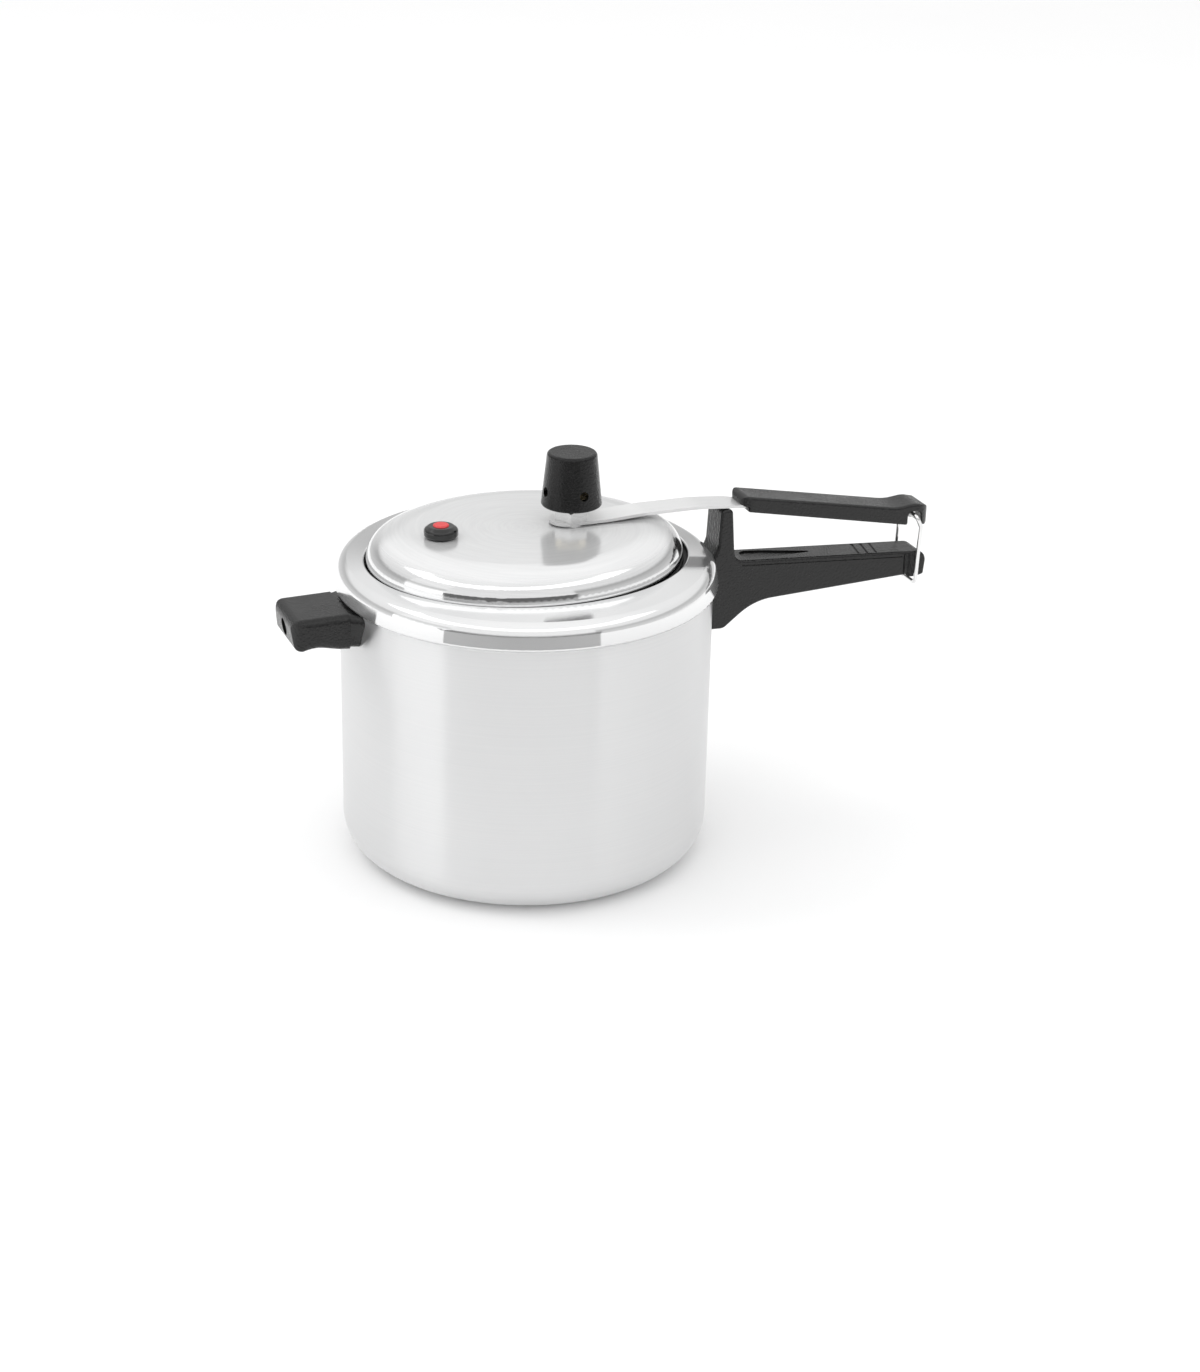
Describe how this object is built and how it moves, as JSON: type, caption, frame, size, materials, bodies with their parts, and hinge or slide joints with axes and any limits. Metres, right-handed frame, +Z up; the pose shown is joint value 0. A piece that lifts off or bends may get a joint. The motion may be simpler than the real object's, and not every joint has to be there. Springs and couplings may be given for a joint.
{
  "type": "stovetop pressure cooker",
  "caption": "Round pot with an oval mouth, closed from inside by a domed lid on a spring strap, with a weight regulator, long twin handles held by a wire latch and a helper handle.",
  "frame": {"origin": "centre of the pot's flat underside, on the surface it stands on", "axes": "+X along the long handles, +Z up, +Y completes the right-handed frame"},
  "size_m": [0.3728, 0.2054, 0.221],
  "materials": {
    "pot_aluminium": "polished, fine turned sheen",
    "lid_aluminium": "polished, fine turned sheen",
    "bakelite": "satin moulded phenolic with fine speckle",
    "cap_bakelite": "satin moulded phenolic",
    "gasket_rubber": "matt black rubber",
    "valve_rubber": "glossy black silicone rubber",
    "valve_red": "matt red",
    "nickel": "bright nickel plate",
    "spring_steel": "polished stainless spring strip",
    "wire_steel": "bright drawn wire",
    "bracket_steel": "pressed steel",
    "rivet_aluminium": "satin",
    "screw_steel": "zinc plated",
    "weight_metal": "nickel plated"
  },
  "bodies": {
    "pot": {"pot_body": "pot_aluminium", "body_handle": "bakelite", "body_handle_bracket": "bracket_steel", "body_handle_rivets": "rivet_aluminium", "body_handle_screw": "screw_steel", "helper_handle": "bakelite", "helper_bracket": "bracket_steel", "helper_rivets": "rivet_aluminium", "helper_screw": "screw_steel"},
    "lid": {"lid_shell": "lid_aluminium", "lid_gasket": "gasket_rubber", "vent_stem": "nickel", "vent_washer": "bracket_steel", "vent_nut": "nickel", "lid_strap": "spring_steel", "upper_handle": "bakelite", "upper_handle_screws": "screw_steel", "safety_plug": "valve_rubber"},
    "safety_pin": {"safety_pin": "valve_red"},
    "regulator_carrier": {"regulator_clip": "screw_steel"},
    "regulator": {"regulator_cap": "cap_bakelite", "regulator_weight": "weight_metal"},
    "latch": {"latch_wire": "wire_steel"}
  },
  "joints": [
    {"name": "lid_lever", "type": "hinge", "parent": "pot", "child": "lid", "pos_m": [0.1126, 0, 0.1773], "axis": [0, -1, 0], "range_deg": [0, 4]},
    {"name": "latch_swing", "type": "hinge", "parent": "lid", "child": "latch", "pos_m": [0.2272, 0, 0.166], "axis": [0, -1, 0], "range_deg": [0, 120]},
    {"name": "regulator_lift", "type": "slide", "parent": "lid", "child": "regulator_carrier", "axis": [0, 0, 1], "range_m": [0, 0.018]},
    {"name": "regulator_spin", "type": "hinge", "parent": "regulator_carrier", "child": "regulator", "pos_m": [0.025, 0, 0.2], "axis": [0, 0, 1], "continuous": true},
    {"name": "safety_pin_rise", "type": "slide", "parent": "lid", "child": "safety_pin", "axis": [0, 0, 1], "range_m": [0, 0.003]}
  ],
  "couplings": [
    {"joint": "latch_swing", "follows": "lid_lever", "ratio": 30}
  ]
}
